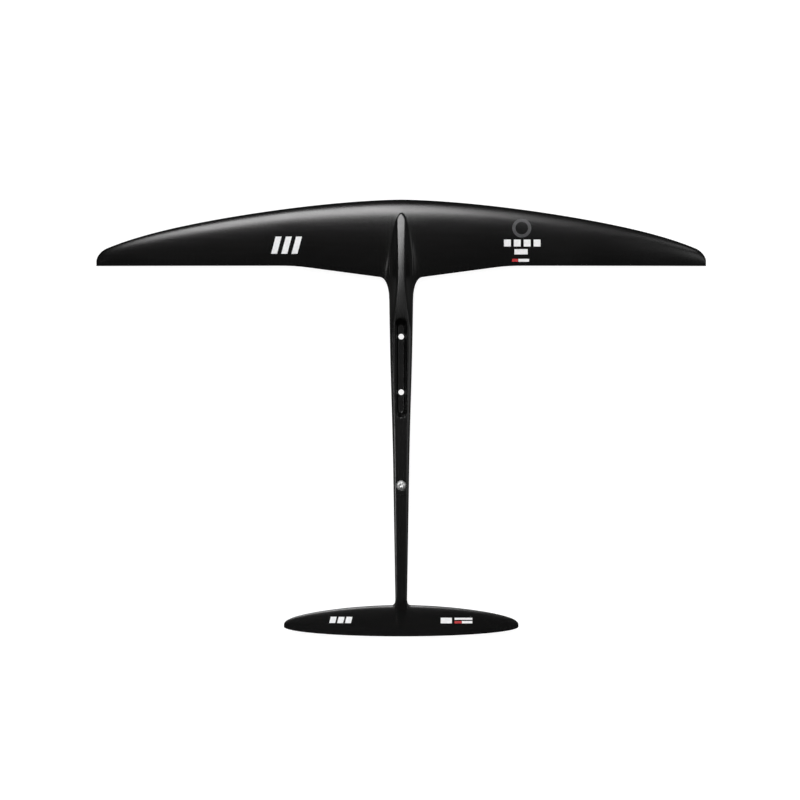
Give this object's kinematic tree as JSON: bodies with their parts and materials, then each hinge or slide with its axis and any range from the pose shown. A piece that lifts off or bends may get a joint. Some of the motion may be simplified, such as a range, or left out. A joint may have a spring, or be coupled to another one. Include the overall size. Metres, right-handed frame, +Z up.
{
  "type": "hydrofoil plane",
  "caption": "Carbon hydrofoil plane: swept front wing moulded with its fuselage and mast socket, and a screwed-on tail boom with stabiliser.",
  "frame": {"origin": "midway between the two mast screw holes, on the mast socket's floor", "axes": "+X to starboard along the span, +Y to the nose, +Z up out of the mast socket"},
  "size_m": [0.928, 0.6629, 0.0456],
  "materials": {
    "laminate": "satin clear coat over carbon laminate",
    "solid_laminate": "machined carbon laminate",
    "foam": "closed-cell structural foam",
    "steel": "A4 stainless steel",
    "washer": "nylon"
  },
  "bodies": {
    "foil": {"front_skin_upper": "laminate", "front_skin_lower": "laminate", "wing_spar": "solid_laminate", "wing_nose_core_left": "foam", "wing_nose_core_right": "foam", "wing_rear_core_left": "foam", "wing_rear_core_right": "foam", "fuselage_nose_core": "foam", "mast_block": "solid_laminate", "mast_bolt_seats": "steel", "fuselage_core": "foam", "tail_sleeve": "solid_laminate", "tail_screw_seat": "steel", "tail_skin_upper": "laminate", "tail_skin_lower": "laminate", "tail_tenon": "solid_laminate", "tail_threaded_insert": "steel", "tail_boom_core": "foam", "stabilizer_core_left": "solid_laminate", "stabilizer_core_right": "solid_laminate"},
    "screw_washer": {"tail_screw_washer": "washer"},
    "screw": {"tail_screw": "steel"}
  },
  "joints": [
    {"name": "screw_lift", "type": "slide", "parent": "foil", "child": "screw_washer", "axis": [0, 0, 1], "range_m": [0, 0.0115]},
    {"name": "screw_turn", "type": "hinge", "parent": "screw_washer", "child": "screw", "pos_m": [0, -0.1833, 0], "axis": [0, 0, 1], "range_deg": [0, 3313]}
  ],
  "couplings": [
    {"joint": "screw_turn", "follows": "screw_lift", "rad_per_m": 5026.5}
  ]
}
